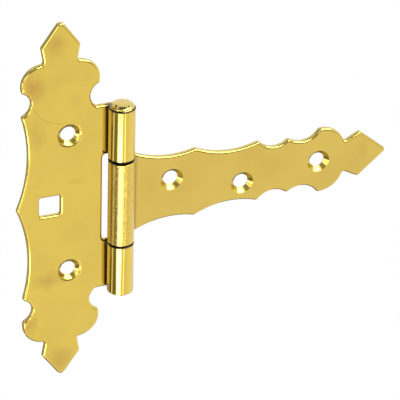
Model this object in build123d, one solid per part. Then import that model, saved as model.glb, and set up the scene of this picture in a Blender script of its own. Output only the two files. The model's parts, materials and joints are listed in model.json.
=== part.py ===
from build123d import *
import os
from collections import namedtuple
from math import asin, degrees

# Decorative T-hinge, open flat, in millimetres.
# Both leaves lie in the XZ plane with their backs on y = 0 and their fronts towards -Y.
# The pin stands along Z at x = 0, the post leaf is on its left and the strap points along +X.

# Sheet and rolled knuckles
sheet = 1.5
pin_diameter = 4.9
pin_clearance = 0.05
seam_gap = 0.3
die_roll = 0.7
back_edge_round = 0.15
point_round = 1.0
cusp_round = 0.8
neck_round = 0.8

# Post leaf, as heights stacked upwards from the middle of the hinge
strap_notch_height = 29.3
swing_clearance = 0.9
notch_round = 1.0
post_knuckle_length = 16.5
side_notch_height = 7.7
post_lobe_height = 8.4
post_barb_height = 5.15
post_tip_height = 8.4

# Post leaf, as half widths from the axis of its finials
post_axis_from_pin = 17.7
middle_point_half = 13.65
waist_point_half = 12.0
shoulder_half = 10.9
post_lobe_half = 11.75
post_neck_half = 5.05
post_barb_half = 5.95
post_tip_round = 1.4

# Post leaf, heights of the arcs over their chords
side_hollow = 2.65
side_notch_hollow = 2.8
shoulder_notch_hollow = 2.25
post_lobe_bulge = 2.7

# Strap leaf, its length from the pin's line to the tip, and the lengths that its scallops take from that
strap_length = 86.7
play_above = 1.0
play_below = 0.6
third_hollow_length = 9.6
fourth_hollow_length = 10.05
strap_lobe_length = 8.25
strap_barb_length = 5.05
strap_tip_length = 9.15

# Strap leaf, half widths at the points between its scallops
first_point_half = 11.5
second_point_half = 10.25
third_point_half = 9.4
fourth_point_half = 10.95
strap_neck_half = 5.05
strap_barb_half = 7.8
strap_tip_round = 0.9

# Strap leaf, heights of the arcs over their chords
first_hollow = 2.05
second_hollow = 2.15
third_hollow = 2.3
fourth_hollow = 2.4
strap_lobe_bulge = 1.85

# Holes
screw_hole = 4.6
screw_land = 0.25
post_screw_from_pin = 15.3
post_screw_spacing = 46.0
post_screw_rim = 1.2
first_screw_before_point = 7.5
first_screw_rise = 2.5
second_screw_before_point = 5.2
second_screw_drop = 2.9
third_screw_before_point = 0.15
square_hole = 6.5
square_hole_round = 0.8
square_hole_from_pin = 21.1

# Peened pin heads: a thin flange on the knuckle's end, and a low dome that stands inside it
head_inset = 0.35
head_flange = 0.3
head_shoulder = 0.55
head_dome = 1.5

# Sizes that follow from the ones above
bore_radius = pin_diameter / 2 + pin_clearance
knuckle_radius = bore_radius + sheet
pin_y = -knuckle_radius
notch_top = strap_notch_height / 2
barrel_top = notch_top + post_knuckle_length
strap_knuckle_length = strap_notch_height - play_above - play_below
strap_middle = (play_below - play_above) / 2
wrap_angle = 270 + degrees(asin((knuckle_radius - sheet - seam_gap) / knuckle_radius))

# Two places closer than this are the same place
same_place = 0.01

# A corner of a leaf's outline: its place, the arc that leads to the next corner, and its rounding.
# A positive bow bulges outwards, a negative one is hollow, and none is a straight edge.
Corner = namedtuple("Corner", "x z bow round", defaults=(0, 0))


def both_halves(upper):
    """The corners above the centreline, and the same ones below it in the opposite order."""
    lower = []
    for i in reversed(range(len(upper))):
        here = upper[i]
        bow = upper[i - 1].bow if i else 0
        if here.z:
            lower.append(Corner(here.x, -here.z, bow, here.round))
    return upper + lower


def blank(upper):
    """The flat face inside a symmetrical outline that runs clockwise, with its corners rounded."""
    corners = both_halves(upper)
    edges = []
    for here, after in zip(corners, corners[1:] + corners[:1]):
        start = (here.x, here.z)
        end = (after.x, after.z)
        edges.append(SagittaArc(start, end, here.bow) if here.bow else Line(start, end))
    face = make_face(edges).face()
    for corner in corners:
        if corner.round:
            vertex = face.vertices().sort_by_distance((corner.x, corner.z))[0]
            face = face.fillet_2d(corner.round, [vertex])
    return face


def pressed_out(face):
    """A face drawn in X and Z as sheet metal, its back on y = 0."""
    return extrude(Plane.XZ * face, sheet)


def screw_cutter(x, z):
    """A screw hole with its right-angled countersink, from the back of the sheet to the front."""
    hole_radius = screw_hole / 2
    sink_depth = sheet - screw_land
    land = extrude(Circle(hole_radius), screw_land)
    sink = Pos(0, 0, screw_land) * Solid.make_cone(hole_radius, hole_radius + sink_depth, sink_depth)
    return Plane.XZ * Pos(x, z, 0) * (land + sink)


def knuckle(length, middle, turn):
    """A rolled knuckle: the sheet curls from the leaf's back round the pin, and stops at its front."""
    centre = (0, pin_y)
    outer = CenterArc(centre, knuckle_radius, 90, turn * wrap_angle)
    inner = CenterArc(centre, bore_radius, 90, turn * wrap_angle)
    root = Line(inner @ 0, outer @ 0)
    tail = Line(outer @ 1, inner @ 1)
    section = make_face([root, outer, tail, inner])
    return Pos(0, 0, middle - length / 2) * extrude(section, length)


def outline_edges(leaf, y):
    """Edges round the leaf's flat face at y, without its screw holes and the line where it starts to curl."""
    found = []
    for face in leaf.faces().filter_by(Axis.Y):
        if abs(face.center().Y - y) < same_place:
            for edge in face.edges():
                starts_to_curl = abs(edge.center().X) < same_place
                if not edge.is_closed and not starts_to_curl:
                    found.append(edge)
    return found


def hole_rims(leaf):
    """Edges of the screw holes at the front of a leaf."""
    rims = leaf.edges().filter_by(GeomType.CIRCLE).filter_by(lambda edge: edge.is_closed)
    return rims.filter_by(lambda edge: abs(edge.center().Y + sheet) < same_place)


def edges_finished(leaf):
    """The leaf with the edges of its punched front rolled over, and those of its back just broken."""
    leaf = fillet(outline_edges(leaf, -sheet), die_roll)
    return fillet(outline_edges(leaf, 0), back_edge_round)


def post_leaf():
    lobe_foot = barrel_top + side_notch_height
    neck = lobe_foot + post_lobe_height
    barb = neck + post_barb_height
    tip = barb + post_tip_height
    axis = -post_axis_from_pin
    notch_edge = -(knuckle_radius + swing_clearance)
    face = blank([
        Corner(axis - middle_point_half, 0, -side_hollow, point_round),
        Corner(axis - waist_point_half, barrel_top, -side_notch_hollow, cusp_round),
        Corner(axis - post_lobe_half, lobe_foot, post_lobe_bulge, cusp_round),
        Corner(axis - post_neck_half, neck, 0, neck_round),
        Corner(axis - post_barb_half, barb, 0, point_round),
        Corner(axis, tip, 0, post_tip_round),
        Corner(axis + post_barb_half, barb, 0, point_round),
        Corner(axis + post_neck_half, neck, post_lobe_bulge, neck_round),
        Corner(axis + post_lobe_half, lobe_foot, -shoulder_notch_hollow, cusp_round),
        Corner(axis + shoulder_half, barrel_top, 0, cusp_round),
        Corner(0, barrel_top),
        Corner(0, notch_top),
        Corner(notch_edge, notch_top, 0, notch_round),
    ])
    face -= Pos(-square_hole_from_pin, 0) * RectangleRounded(square_hole, square_hole, square_hole_round)
    leaf = pressed_out(face)
    for side in (1, -1):
        leaf += knuckle(post_knuckle_length, side * (barrel_top + notch_top) / 2, -1)
        leaf -= screw_cutter(-post_screw_from_pin, side * post_screw_spacing / 2)
    leaf = fillet(hole_rims(leaf), post_screw_rim)
    return edges_finished(leaf)


def strap_leaf():
    tip = strap_length
    barb = tip - strap_tip_length
    neck = barb - strap_barb_length
    fourth = neck - strap_lobe_length
    third = fourth - fourth_hollow_length
    second = third - third_hollow_length
    first = (knuckle_radius + second) / 2
    root_half = strap_knuckle_length / 2
    face = blank([
        Corner(0, root_half),
        Corner(knuckle_radius, root_half, -first_hollow, point_round),
        Corner(first, first_point_half, -second_hollow, point_round),
        Corner(second, second_point_half, -third_hollow, point_round),
        Corner(third, third_point_half, -fourth_hollow, point_round),
        Corner(fourth, fourth_point_half, strap_lobe_bulge, point_round),
        Corner(neck, strap_neck_half, 0, neck_round),
        Corner(barb, strap_barb_half, 0, point_round),
        Corner(tip, 0, 0, strap_tip_round),
    ])
    leaf = pressed_out(Pos(0, strap_middle) * face)
    leaf += knuckle(strap_knuckle_length, strap_middle, 1)
    leaf -= screw_cutter(first - first_screw_before_point, strap_middle + first_screw_rise)
    leaf -= screw_cutter(second - second_screw_before_point, strap_middle - second_screw_drop)
    leaf -= screw_cutter(fourth - third_screw_before_point, strap_middle)
    return edges_finished(leaf)


def hinge_pin():
    """The upper half of the pin, drawn as a half section and turned, and its mirror image below."""
    shank = pin_diameter / 2
    flange = knuckle_radius - head_inset
    flange_top = barrel_top + head_flange
    dome_foot = flange - head_shoulder
    dome_top = flange_top + head_dome
    dome_radius = (dome_foot**2 + head_dome**2) / (2 * head_dome)
    half_section = make_face([
        Polyline((0, dome_top), (0, 0), (shank, 0), (shank, barrel_top), (flange, barrel_top)),
        Polyline((flange, barrel_top), (flange, flange_top), (dome_foot, flange_top)),
        RadiusArc((0, dome_top), (dome_foot, flange_top), dome_radius),
    ])
    upper = revolve(Plane.XZ * half_section, Axis.Z)
    return Pos(0, pin_y, 0) * (upper + mirror(upper, Plane.XY))


os.makedirs("parts", exist_ok=True)
export_step(post_leaf(), "parts/post_leaf.step")
export_step(strap_leaf(), "parts/strap_leaf.step")
export_step(hinge_pin(), "parts/hinge_pin.step")
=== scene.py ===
import bpy
import json
from math import cos, hypot, pi, radians, sin, tan
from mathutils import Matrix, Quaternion, Vector

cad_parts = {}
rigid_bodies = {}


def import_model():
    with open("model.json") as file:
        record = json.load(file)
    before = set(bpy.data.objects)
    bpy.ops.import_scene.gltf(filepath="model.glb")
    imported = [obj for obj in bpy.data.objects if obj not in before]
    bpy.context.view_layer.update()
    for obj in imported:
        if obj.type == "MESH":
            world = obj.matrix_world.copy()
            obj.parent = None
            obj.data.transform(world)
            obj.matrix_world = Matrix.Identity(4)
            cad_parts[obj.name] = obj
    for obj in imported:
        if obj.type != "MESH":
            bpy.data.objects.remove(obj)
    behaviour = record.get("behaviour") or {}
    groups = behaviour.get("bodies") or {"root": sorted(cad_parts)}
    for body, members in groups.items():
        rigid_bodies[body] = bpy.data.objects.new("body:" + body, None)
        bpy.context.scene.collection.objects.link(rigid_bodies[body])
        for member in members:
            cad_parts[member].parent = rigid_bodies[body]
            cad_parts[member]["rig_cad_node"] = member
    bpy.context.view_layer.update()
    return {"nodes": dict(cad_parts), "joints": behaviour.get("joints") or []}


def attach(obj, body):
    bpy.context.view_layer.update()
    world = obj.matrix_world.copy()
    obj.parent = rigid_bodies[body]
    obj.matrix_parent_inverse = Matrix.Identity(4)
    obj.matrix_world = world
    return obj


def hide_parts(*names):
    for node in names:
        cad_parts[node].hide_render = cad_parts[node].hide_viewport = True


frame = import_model()


# Post leaf
# The upright plate that is screwed to the gate post: one stamping of 1.5 mm steel sheet, brass plated and
# lacquered, its two tabs rolled forward into the outer knuckles and its punched edges rolled over in front.
# Handling has left brown smudges on it, and shade is painted into the creases beside the knuckles and at the
# knuckles' ends.
mm = 0.001
pin_y = frame["joints"][0]["pos_m"][1]
weld_distance = 0.001 * mm
smooth_limit = radians(40)

# Which faces are knuckles, punched walls and countersinks
knuckle_reach = 4.15 * mm
unplated_and_shaded_within = 3.85 * mm
wall_slope = 0.35
face_slope = 0.99
screw_holes = [(-15.3, 23), (-15.3, -23), (16.8, 2.3), (39.4, -3.1), (64.1, -0.2)]
sunk_reach = 4.2 * mm

# The plating and its lacquer
post_gold = (0.744, 0.534, 0.068)
post_shine = 0.10
lacquer = 0.9
lacquer_blur = 0.08
drift_scale = 75
drift_range = (0.42, 0.72)
drift_share = 0.16
ripple_scale = 420
ripple_strength = 0.08
ripple_height = 0.1 * mm

# The smudges, whose outlines waver
tarnish = (0.468, 0.253, 0.038)
tarnish_dulls = 0.12
waver_scale = 220
waver_reach = 4
post_smudges = [
    # x, z, half width, half height, in millimetres, and how brown the middle is
    (-26.2, 40.4, 4.6, 6.0, 0.70),
    (-19.3, 53.0, 3.8, 5.0, 0.48),
    (-18.1, 41.8, 7.0, 2.8, 0.16),
    (-13.3, 34.4, 2.6, 3.6, 0.14),
    (-25.4, 24.3, 3.0, 7.2, 0.34),
    (-13.2, 7.4, 4.2, 1.9, 0.22),
    (-14.4, -10.9, 5.5, 5.0, 0.12),
    (-21.6, -25.4, 5.6, 3.6, 0.55),
    (-28.2, -40.0, 3.6, 6.6, 0.60),
    (-18.1, -54.7, 5.0, 6.0, 0.52),
]

# The scuff, an arc that fades out at its ends
scuff_width = 0.35
scuff_fade = (0.78, 0.94)
post_scuffs = [
    # x, z, radius, in millimetres, the way from the middle to the scuff, and how brown it is
    (-16.8, 37.2, 9.9, (-0.58, 0, -0.81), 0.40),
]

# The painted shade in the creases and at the knuckles' ends, from where it starts to where it is darkest, in
# millimetres
crease_shade_colour = (0.045, 0.036, 0.012)
front_depths = (-0.5, -1.2)
crease_depths = (-2.6, -1.9)
post_crease = (-5.2, -3.4)
post_crease_shade = 0.75
rolled_from = (-4.3, -4.1)
post_shaded_knuckle_ends = [(14.98, 14.80), (30.92, 31.10)]
end_shade = 0.9

# Metal that was cut, and bare oily metal, whose dark colour also serves as painted shade inside and between
# the knuckles
streak_scale = (900, 60, 900)
streak_dulls = 0.15
wall_pale = (0.690, 0.575, 0.200)
wall_brown = (0.580, 0.475, 0.165)
wall_shine = 0.2
sunk_pale = (0.700, 0.530, 0.110)
sunk_brown = (0.600, 0.440, 0.085)
sunk_shine = 0.1
oil_and_shade_dark = (0.030, 0.016, 0.006)
oil_and_shade_dusty = (0.080, 0.045, 0.014)
dust_scale = 900


def plated_copy(node, name):
    """A copy of a CAD node as one skin, which shades flat on its faces and smooth round its rolled edges."""
    bpy.ops.object.select_all(action="DESELECT")
    solid = frame["nodes"][node]
    solid.select_set(True)
    bpy.context.view_layer.objects.active = solid
    bpy.ops.object.duplicate()
    piece = bpy.context.object
    piece.name = name
    del piece["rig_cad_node"]
    bpy.ops.mesh.customdata_custom_splitnormals_clear()
    bpy.ops.object.mode_set(mode="EDIT")
    bpy.ops.mesh.select_all(action="SELECT")
    bpy.ops.mesh.remove_doubles(threshold=weld_distance)
    bpy.ops.object.mode_set(mode="OBJECT")
    bpy.ops.object.shade_smooth_by_angle(angle=smooth_limit)
    bpy.ops.object.modifier_add(type="WEIGHTED_NORMAL")
    piece.modifiers[-1].keep_sharp = True
    bpy.ops.object.modifier_apply(modifier=piece.modifiers[-1].name)
    piece.data.materials.clear()
    return piece


def add(tree, kind, sockets, **settings):
    """A new shader node, with its settings, and with values or links in its sockets."""
    node = tree.nodes.new("ShaderNode" + kind)
    for name, value in settings.items():
        setattr(node, name, value)
    for name, value in sockets.items():
        if isinstance(value, bpy.types.NodeSocket):
            tree.links.new(value, node.inputs[name])
        else:
            node.inputs[name].default_value = value
    return node


def new_material(name):
    """A material with its node tree, its surface shader and the place on the object that is shaded."""
    material = bpy.data.materials.new(name)
    material.use_nodes = True
    tree = material.node_tree
    return material, tree, tree.nodes["Principled BSDF"], add(tree, "TexCoord", {}).outputs["Object"]


def reckoned(tree, operation, *values):
    """What an operation makes of one, two or three numbers."""
    return add(tree, "Math", dict(enumerate(values)), operation=operation).outputs[0]


def mapped(tree, value, start, end, low, high, **settings):
    """A number that goes from low to high as a value goes from start to end, and stays there past them."""
    sockets = {"Value": value, "From Min": start, "From Max": end, "To Min": low, "To Max": high}
    return add(tree, "MapRange", sockets, **settings).outputs["Result"]


def ramp(tree, length, start, end, most):
    """A share that goes softly from none to most, as a length goes from start to end, in millimetres."""
    return mapped(tree, length, start * mm, end * mm, 0, most, interpolation_type="SMOOTHSTEP")


def blended(tree, share, start, end):
    """A colour that goes from start to end with the share."""
    mix = add(tree, "Mix", {}, data_type="RGBA")
    tree.links.new(share, mix.inputs["Factor"])
    for name, colour in (("A", start), ("B", end)):
        if isinstance(colour, bpy.types.NodeSocket):
            tree.links.new(colour, mix.inputs[name])
        else:
            mix.inputs[name].default_value = (*colour, 1)
    return mix.outputs["Result"]


def scuff(tree, place, x, z, radius, way):
    """The share of a thin scuff: the part of a circle about x, z that lies the given way from its middle."""
    out = add(tree, "VectorMath", {0: place, 1: (x * mm, 0, z * mm)}, operation="SUBTRACT").outputs[0]
    out = add(tree, "VectorMath", {0: out, 1: (1, 0, 1)}, operation="MULTIPLY").outputs[0]
    far = add(tree, "VectorMath", {0: out}, operation="LENGTH").outputs["Value"]
    side = add(tree, "VectorMath", {0: out, 1: way}, operation="DOT_PRODUCT").outputs["Value"]
    off = reckoned(tree, "SUBTRACT", far, radius * mm)
    off = reckoned(tree, "ABSOLUTE", off)
    line = mapped(tree, off, 0, scuff_width * mm, 1, 0)
    fade_start, fade_end = scuff_fade
    part = mapped(tree, side, fade_start * radius * mm, fade_end * radius * mm, 0, 1)
    return reckoned(tree, "MULTIPLY", line, part)


def plated_brass(name, gold, shine, smudges, crease, shade_most, scuffs=(), shaded_knuckle_ends=()):
    """Lacquered brass plate: gold that drifts a little, with smudges, and painted shade where x nears a
    knuckle and at the knuckles' ends.
    """
    material, tree, surface, place = new_material(name)
    surface.inputs["Metallic"].default_value = 1.0
    surface.inputs["Coat Weight"].default_value = lacquer
    surface.inputs["Coat Roughness"].default_value = lacquer_blur
    axes = add(tree, "SeparateXYZ", {"Vector": place}).outputs
    front = ramp(tree, axes["Y"], *front_depths, 1)

    drift = add(tree, "TexNoise", {"Vector": place, "Scale": drift_scale, "Detail": 4}).outputs["Fac"]
    brown = mapped(tree, drift, *drift_range, 0, drift_share)
    waver = add(tree, "TexNoise", {"Vector": place, "Scale": waver_scale, "Detail": 3}).outputs["Color"]
    reach = (waver_reach * mm, waver_reach * mm, waver_reach * mm)
    waver = add(tree, "VectorMath", {0: waver, 1: reach}, operation="MULTIPLY").outputs[0]
    moved = add(tree, "VectorMath", {0: place, 1: waver}, operation="ADD").outputs[0]
    for x, z, half_width, half_height, share in smudges:
        middle = ((x + waver_reach / 2) * mm, 0, (z + waver_reach / 2) * mm)
        size = (half_width * mm, 1, half_height * mm)
        spot = {"Vector": moved, "Location": middle, "Scale": size}
        spot = add(tree, "Mapping", spot, vector_type="TEXTURE").outputs[0]
        spot = add(tree, "TexGradient", {"Vector": spot}, gradient_type="SPHERICAL").outputs["Fac"]
        brown = reckoned(tree, "MULTIPLY_ADD", spot, share, brown)
    for *arc, share in scuffs:
        mark = reckoned(tree, "MULTIPLY", scuff(tree, place, *arc), front)
        brown = reckoned(tree, "MULTIPLY_ADD", mark, share, brown)

    # Painted shade in the crease beside the knuckle, and at the ends of the knuckles
    near = ramp(tree, axes["X"], *crease, shade_most)
    near = reckoned(tree, "MULTIPLY", near, front)
    flat = ramp(tree, axes["Y"], *crease_depths, 1)
    painted_shade = reckoned(tree, "MULTIPLY", near, flat)
    height = reckoned(tree, "ABSOLUTE", axes["Z"])
    rolled = ramp(tree, axes["X"], *rolled_from, 1)
    for unshaded, darkest in shaded_knuckle_ends:
        rim = ramp(tree, height, unshaded, darkest, end_shade)
        painted_shade = reckoned(tree, "MULTIPLY_ADD", rim, rolled, painted_shade)
    colour = blended(tree, brown, gold, tarnish)
    tree.links.new(blended(tree, painted_shade, colour, crease_shade_colour), surface.inputs["Base Color"])

    dull = mapped(tree, brown, 0, 1, shine, shine + tarnish_dulls)
    tree.links.new(dull, surface.inputs["Roughness"])
    ripple = add(tree, "TexNoise", {"Vector": place, "Scale": ripple_scale, "Detail": 2}).outputs["Fac"]
    bump = add(tree, "Bump", {"Height": ripple, "Strength": ripple_strength, "Distance": ripple_height})
    tree.links.new(bump.outputs["Normal"], surface.inputs["Normal"])
    return material


def cut_metal(name, pale, brown, shine):
    """Where the sheet was sheared or countersunk: thin, streaky plating, paler than the face."""
    material, tree, surface, place = new_material(name)
    surface.inputs["Metallic"].default_value = 1.0
    streaks = add(tree, "Mapping", {"Vector": place, "Scale": streak_scale}).outputs[0]
    streaks = add(tree, "TexNoise", {"Vector": streaks, "Scale": 1, "Detail": 3}).outputs["Fac"]
    tree.links.new(blended(tree, streaks, pale, brown), surface.inputs["Base Color"])
    dull = mapped(tree, streaks, 0, 1, shine, shine + streak_dulls)
    tree.links.new(dull, surface.inputs["Roughness"])
    return material


def oily_steel_and_shade(name):
    """Bare steel with old oil and dust on it, where the plating did not reach: dark, dull and uneven, and
    painted shade inside and between the knuckles.
    """
    material, tree, surface, place = new_material(name)
    surface.inputs["Metallic"].default_value = 0.3
    surface.inputs["Roughness"].default_value = 0.6
    dust = add(tree, "TexNoise", {"Vector": place, "Scale": dust_scale}).outputs["Fac"]
    tree.links.new(blended(tree, dust, oil_and_shade_dark, oil_and_shade_dusty), surface.inputs["Base Color"])
    return material


def from_pin(face):
    """How far the middle of a face is from the pin's axis."""
    return hypot(face.center.x, face.center.y - pin_y)


def is_unplated_or_shaded(face):
    """Whether a face is inside a knuckle or in its seam, where the plating did not reach and the dark steel
    is painted shade.
    """
    return from_pin(face) < unplated_and_shaded_within


def is_wall(face):
    """Whether a face is part of the sheet's punched wall, and not of a knuckle."""
    return from_pin(face) > knuckle_reach and abs(face.normal.y) < wall_slope


def is_sunk(face):
    """Whether a face slopes down into a screw hole."""
    reach = min(hypot(face.center.x - x * mm, face.center.z - z * mm) for x, z in screw_holes)
    return reach < sunk_reach and wall_slope < -face.normal.y < face_slope


def give(piece, material, chosen):
    """Gives a material of its own to the chosen faces of a piece."""
    piece.data.materials.append(material)
    for face in piece.data.polygons:
        if chosen(face):
            face.material_index = len(piece.data.materials) - 1


# Dark oily steel, which also paints shade into the bores, seams and gaps of the knuckles
oil_and_shade = oily_steel_and_shade("oily_steel_and_shade")
wall = cut_metal("punched_wall", wall_pale, wall_brown, wall_shine)
countersink = cut_metal("countersink", sunk_pale, sunk_brown, sunk_shine)
post_brass = plated_brass(
    "post_brass",
    post_gold,
    post_shine,
    post_smudges,
    post_crease,
    post_crease_shade,
    post_scuffs,
    post_shaded_knuckle_ends,
)
post_leaf = plated_copy("post_leaf", "post_leaf_sheet")
post_leaf.data.materials.append(post_brass)
give(post_leaf, wall, is_wall)
give(post_leaf, countersink, is_sunk)
give(post_leaf, oil_and_shade, is_unplated_or_shaded)
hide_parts("post_leaf")
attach(post_leaf, "post")


# Strap leaf
# The long scalloped leaf that is screwed to the gate: the same sheet, with its root rolled into the centre
# knuckle, which runs on the pin. This knuckle is rolled a little out of round, and its plating is rougher
# than the rest, pitted like cast metal.
strap_gold = (0.701, 0.496, 0.075)
strap_shine = 0.15
# Painted shade in the crease where the strap meets its knuckle
strap_crease = (6.2, 4.9)
strap_crease_shade = 0.55
strap_smudges = [
    (48.9, 2.0, 6.0, 3.4, 0.14),
    (78.2, 0.8, 2.6, 4.2, 0.22),
    (9.5, 1.9, 4.0, 9.0, 0.12),
]

# The centre knuckle: its pits and streaks, the lean of its skin from left to right, and painted shade at its
# lower end
knuckle_lacquer = 0.8
knuckle_lacquer_blur = 0.14
pit_scale = 1700
pit_roughness = 0.6
pit_range = (0.54, 0.68)
pit_share = 0.6
knuckle_streaks = (350, 350, 1900)
knuckle_shine = (0.10, 0.24)
skin_lean = 1800
skin_strength = 0.6
skin_height = 0.1 * mm
strap_shaded_knuckle_end = (-13.72, -13.9)


def pitted_brass(name, gold):
    """Brass plate over a rough rolled skin: fine pits and streaks round the knuckle break up its shine."""
    material, tree, surface, place = new_material(name)
    surface.inputs["Metallic"].default_value = 1.0
    surface.inputs["Coat Weight"].default_value = knuckle_lacquer
    surface.inputs["Coat Roughness"].default_value = knuckle_lacquer_blur
    axes = add(tree, "SeparateXYZ", {"Vector": place}).outputs
    pits = {"Vector": place, "Scale": pit_scale, "Detail": 3, "Roughness": pit_roughness}
    pits = add(tree, "TexNoise", pits).outputs["Fac"]
    streaks = add(tree, "Mapping", {"Vector": place, "Scale": knuckle_streaks}).outputs[0]
    streaks = add(tree, "TexNoise", {"Vector": streaks, "Scale": 1, "Detail": 2}).outputs["Fac"]

    brown = mapped(tree, pits, *pit_range, 0, pit_share)
    colour = blended(tree, brown, gold, tarnish)
    # Painted shade at the knuckle's lower end, beside the gap below it
    painted_shade = ramp(tree, axes["Z"], *strap_shaded_knuckle_end, end_shade)
    tree.links.new(blended(tree, painted_shade, colour, crease_shade_colour), surface.inputs["Base Color"])
    dull = mapped(tree, streaks, 0, 1, *knuckle_shine)
    tree.links.new(dull, surface.inputs["Roughness"])

    skin = reckoned(tree, "ADD", pits, streaks)
    skin = reckoned(tree, "MULTIPLY_ADD", axes["X"], skin_lean, skin)
    bump = add(tree, "Bump", {"Height": skin, "Strength": skin_strength, "Distance": skin_height})
    tree.links.new(bump.outputs["Normal"], surface.inputs["Normal"])
    return material


def is_knuckle(face):
    """Whether a face is part of a rolled knuckle."""
    return from_pin(face) < knuckle_reach


strap_brass = plated_brass("strap_brass", strap_gold, strap_shine, strap_smudges, strap_crease, strap_crease_shade)
strap_leaf = plated_copy("strap_leaf", "strap_leaf_sheet")
strap_leaf.data.materials.append(strap_brass)
give(strap_leaf, wall, is_wall)
give(strap_leaf, countersink, is_sunk)
give(strap_leaf, pitted_brass("pitted_brass", strap_gold), is_knuckle)
give(strap_leaf, oil_and_shade, is_unplated_or_shaded)
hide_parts("strap_leaf")
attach(strap_leaf, "strap")


# Hinge pin
# A steel pin, brass plated with the rest, pushed through the knuckles and hammered over at both ends into
# low domes that keep it in. Each has a rounded lip, and the lower one lies flatter. The upper one shows
# a centre punch mark and the dents of the hammer.
pin_gold = (0.693, 0.524, 0.114)
pin_shine = 0.12
no_crease = (-60, -59)
no_shade = 0.0

# Lengths in millimetres, upwards from the middle of the pin
pin_sides = 96
shank_radius = 2.45
head_foot = 31.15
neck_radius = 3.05
neck_height = 0.2
lip_foot = head_foot + neck_height
lip_radius = 3.65
lip_height = 0.26
lip_round = [
    # how far in from the lip's radius, and up from its foot
    (0.12, 0),
    (0.03, 0.06),
    (0, 0.14),
    (0.05, 0.22),
]
dome_foot = lip_foot + lip_height
dome_radius = 3.5
dome_height = 1.2
dome_fullness = 0.8
dome_rings = 24
lower_head_share = 0.5

# The marks on the upper head, and the oily steel in the first three of them and under the lip, which paints
# shade into these hollows
dents = [
    # x, y from the pin's axis, depth and reach, in millimetres
    (0.0, 0.0, 0.45, 0.7),
    (-2.3, -1.3, 0.22, 0.8),
    (1.10, -2.55, 0.10, 0.6),
    (1.55, 0.35, 0.14, 0.6),
]
oily_shaded_dents = 3
oily_shaded_share = 0.46
oily_shaded_top = lip_foot + 0.01

pin_section = [
    (shank_radius, head_foot),
    (neck_radius, head_foot),
    (neck_radius, lip_foot),
]
for inset, rise in lip_round:
    pin_section.append((lip_radius - inset, lip_foot + rise))
for ring in range(dome_rings):
    turn = pi / 2 * ring / dome_rings
    pin_section.append((dome_radius * cos(turn)**dome_fullness, dome_foot + dome_height * sin(turn)))

bpy.ops.object.select_all(action="DESELECT")
bpy.ops.mesh.primitive_circle_add(vertices=pin_sides, radius=shank_radius * mm, location=(0, pin_y, 0))
hinge_pin = bpy.context.object
hinge_pin.name = "hinge_pin_peened"
bpy.ops.object.transform_apply(location=True)
bpy.ops.object.mode_set(mode="EDIT")
bpy.ops.mesh.select_all(action="SELECT")
here_radius = shank_radius
here_height = 0
for ring_radius, ring_height in pin_section:
    step = (0, 0, (ring_height - here_height) * mm)
    bpy.ops.mesh.extrude_region_move(TRANSFORM_OT_translate={"value": step})
    grow = ring_radius / here_radius
    bpy.ops.transform.resize(value=(grow, grow, 1), center_override=(0, pin_y, ring_height * mm))
    here_radius = ring_radius
    here_height = ring_height
bpy.ops.mesh.merge(type="CENTER")
bpy.ops.object.mode_set(mode="OBJECT")
bpy.ops.object.modifier_add(type="MIRROR")
hinge_pin.modifiers[-1].use_axis = (False, False, True)
bpy.ops.object.modifier_apply(modifier=hinge_pin.modifiers[-1].name)


def pick(piece, chosen):
    """Selects the chosen vertices of a piece and no others, and goes on in edit mode."""
    bpy.ops.object.mode_set(mode="EDIT")
    bpy.ops.mesh.select_all(action="DESELECT")
    bpy.ops.object.mode_set(mode="OBJECT")
    for vertex in piece.data.vertices:
        vertex.select = chosen(vertex)
    bpy.ops.object.mode_set(mode="EDIT")


pick(hinge_pin, lambda vertex: vertex.co.z < -head_foot * mm - weld_distance)
bpy.ops.transform.resize(value=(1, 1, lower_head_share), center_override=(0, pin_y, -head_foot * mm))
bpy.ops.object.mode_set(mode="OBJECT")
for x, y, depth, reach in dents:
    struck = Vector((x * mm, pin_y + y * mm, (dome_foot + dome_height) * mm))
    nearest = min(hinge_pin.data.vertices, key=lambda vertex: (vertex.co - struck).length).index
    pick(hinge_pin, lambda vertex: vertex.index == nearest)
    bpy.ops.transform.translate(
        value=(0, 0, -depth * mm),
        use_proportional_edit=True,
        proportional_edit_falloff="SMOOTH",
        proportional_size=reach * mm,
    )
    bpy.ops.object.mode_set(mode="OBJECT")
bpy.ops.object.mode_set(mode="EDIT")
bpy.ops.mesh.select_all(action="SELECT")
bpy.ops.mesh.normals_make_consistent(inside=False)
bpy.ops.object.mode_set(mode="OBJECT")
bpy.ops.object.shade_smooth_by_angle(angle=smooth_limit)


def is_oily_or_shaded(face):
    """Whether a face is on the shank, under a lip, or at the bottom of one of the first dents, where dark
    oily steel paints shade.
    """
    if abs(face.center.z) < oily_shaded_top * mm:
        return True
    for x, y, depth, reach in dents[:oily_shaded_dents]:
        away = hypot(face.center.x - x * mm, face.center.y - pin_y - y * mm)
        if away < oily_shaded_share * reach * mm and face.center.z > 0:
            return True
    return False


pin_brass = plated_brass("pin_brass", pin_gold, pin_shine, [], no_crease, no_shade)
hinge_pin.data.materials.append(pin_brass)
give(hinge_pin, oil_and_shade, is_oily_or_shaded)
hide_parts("hinge_pin")
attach(hinge_pin, "post")


# Floor
# A sheet of white paper on the floor, well below the hinge, which is held up by its post. It glows a little
# for the camera and in polished metal, so that both show it white.
floor_height = -1.0
floor_width = 4.0
paper_white = (0.94, 0.94, 0.94)
fibre_white = (0.96, 0.96, 0.96)
fibre_scale = 40
paper_roughness = 0.9
paper_glow = 0.9

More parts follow.
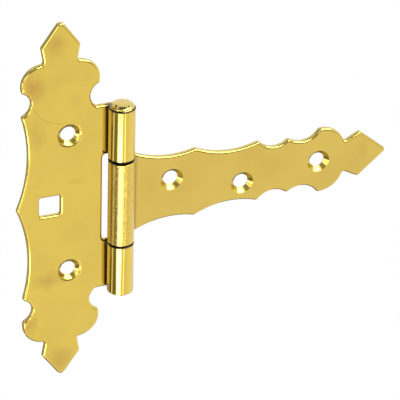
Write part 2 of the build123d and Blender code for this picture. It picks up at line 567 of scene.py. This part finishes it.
bpy.ops.object.select_all(action="DESELECT")
bpy.ops.mesh.primitive_plane_add(size=floor_width, location=(0, 0, floor_height))
floor = bpy.context.object
floor.name = "paper_floor"
paper, tree, sheet, place = new_material("white_paper")
fibres = add(tree, "TexNoise", {"Vector": place, "Scale": fibre_scale}).outputs["Fac"]
tree.links.new(blended(tree, fibres, paper_white, fibre_white), sheet.inputs["Base Color"])
sheet.inputs["Roughness"].default_value = paper_roughness
glow = add(tree, "Emission", {}).outputs["Emission"]
rays = add(tree, "LightPath", {}).outputs
mirrored = reckoned(tree, "MAXIMUM", rays["Is Glossy Ray"], rays["Is Transmission Ray"])
seen = reckoned(tree, "MAXIMUM", rays["Is Camera Ray"], mirrored)
share = reckoned(tree, "MULTIPLY", seen, paper_glow)
both = add(tree, "MixShader", {"Fac": share, 1: sheet.outputs["BSDF"], 2: glow})
tree.links.new(both.outputs["Shader"], tree.nodes["Material Output"].inputs["Surface"])
floor.data.materials.append(paper)


# Studio
# A white room with two soft boxes at the front left, a thin strip and a side panel for finer lines, and
# a lamp under the ceiling at the right, for the rolled edges. Grey cards stand between them, and draw the
# dark lines along the polished barrel.
panel_distance = 0.9
lamp_bounces = 2.5


def direction(azimuth, elevation):
    """The way to a place in the studio: azimuth 0 is straight in front of the hinge, and 90 to its right."""
    a = radians(azimuth)
    e = radians(elevation)
    return Vector((sin(a) * cos(e), -cos(a) * cos(e), sin(e)))


def span(start, end):
    """The length of a flat panel that covers the angles from start to end, seen from the hinge."""
    return 2 * panel_distance * tan(radians(end - start) / 2)


def facing(panel, azimuths, elevations):
    """Puts a lamp or a card at the middle of its angles, turned to the hinge."""
    way = direction(sum(azimuths) / 2, sum(elevations) / 2)
    panel.location = way * panel_distance
    panel.rotation_mode = "QUATERNION"
    panel.rotation_quaternion = way.to_track_quat("Z", "Y")


def soft_box(name, azimuths, elevations, brightness):
    """A panel that glows at the given brightness, where 1 is white, and shows as a highlight on metal."""
    bpy.ops.object.light_add(type="AREA")
    lamp = bpy.context.object
    lamp.name = name
    lamp.data.shape = "RECTANGLE"
    lamp.data.size = span(*azimuths)
    lamp.data.size_y = span(*elevations)
    lamp.data.energy = brightness * pi * lamp.data.size * lamp.data.size_y
    lamp.visible_camera = False
    lamp.visible_diffuse = False
    lamp.data.use_nodes = True
    tree = lamp.data.node_tree
    depth = add(tree, "LightPath", {}).outputs["Ray Depth"]
    lit = reckoned(tree, "LESS_THAN", depth, lamp_bounces)
    tree.links.new(lit, tree.nodes["Emission"].inputs["Strength"])
    facing(lamp, azimuths, elevations)


def card(name, azimuths, elevations, grey):
    """A card of the given grey, where 1 is white, that only polished metal sees."""
    bpy.ops.mesh.primitive_plane_add(size=1)
    panel = bpy.context.object
    panel.name = name
    panel.scale = (span(*azimuths), span(*elevations), 1)
    tint, tree = new_material(name)[:2]
    tone = add(tree, "Emission", {"Color": (grey, grey, grey, 1)}).outputs["Emission"]
    tree.links.new(tone, tree.nodes["Material Output"].inputs["Surface"])
    panel.data.materials.append(tint)
    panel.visible_camera = False
    panel.visible_diffuse = False
    panel.visible_shadow = False
    facing(panel, azimuths, elevations)


# The azimuths and the elevations that each one covers, in degrees, and its brightness or its grey
soft_box("low_soft_box", (-46, -18), (-36, -28), 8)
soft_box("upper_soft_box", (-54, -22), (0, 16), 2.5)
soft_box("thin_strip", (6, 10), (-45, -18), 1.8)
soft_box("side_panel", (-71, -59), (-24, -2), 6)
soft_box("ceiling_right", (4, 76), (36, 58), 8)
card("near_flag", (-84, -59), (-65, 25), 0.2)
card("right_wall", (45, 93), (-55, -12), 1.06)
card("horizon_band", (-12, 40), (-16, 14), 0.22)
card("right_band", (40, 75), (-16, 14), 0.85)
card("upper_left_card", (-95, -14), (24, 62), 0.35)
card("ceiling_front", (-40, -4), (62, 112), 0.15)
card("shade_below", (-24, 24), (-114, -66), 0.2)
card("back_left_card", (-178, -104), (-60, 30), 0.43)
card("back_top", (118, 176), (16, 50), 1.1)
card("back_right_card", (128, 176), (-62, -36), 0.2)

world = bpy.data.worlds.new("white_room")
bpy.context.scene.world = world
world.use_nodes = True
world.node_tree.nodes["Background"].inputs["Color"].default_value = (1, 1, 1, 1)
world.node_tree.nodes["Background"].inputs["Strength"].default_value = 1.0


# Camera
# A long lens that looks down at the hinge from the front left, as the photograph was taken.
# It is tilted sideways a little.
view_azimuth = -21.824
view_elevation = 30.989
view_roll = radians(1.677)
view_distance = 0.855825
view_middle = Vector((0.026616, 0, -0.007585))
sensor_width = 36
lens_length = 256.93

bpy.ops.object.camera_add()
camera = bpy.context.object
camera.data.sensor_width = sensor_width
camera.data.lens = lens_length
back = direction(view_azimuth, view_elevation)
camera.location = view_middle + back * view_distance
camera.rotation_mode = "QUATERNION"
camera.rotation_quaternion = back.to_track_quat("Z", "Y") @ Quaternion((0, 0, 1), view_roll)
bpy.context.scene.camera = camera
bpy.context.scene.view_settings.view_transform = "Standard"
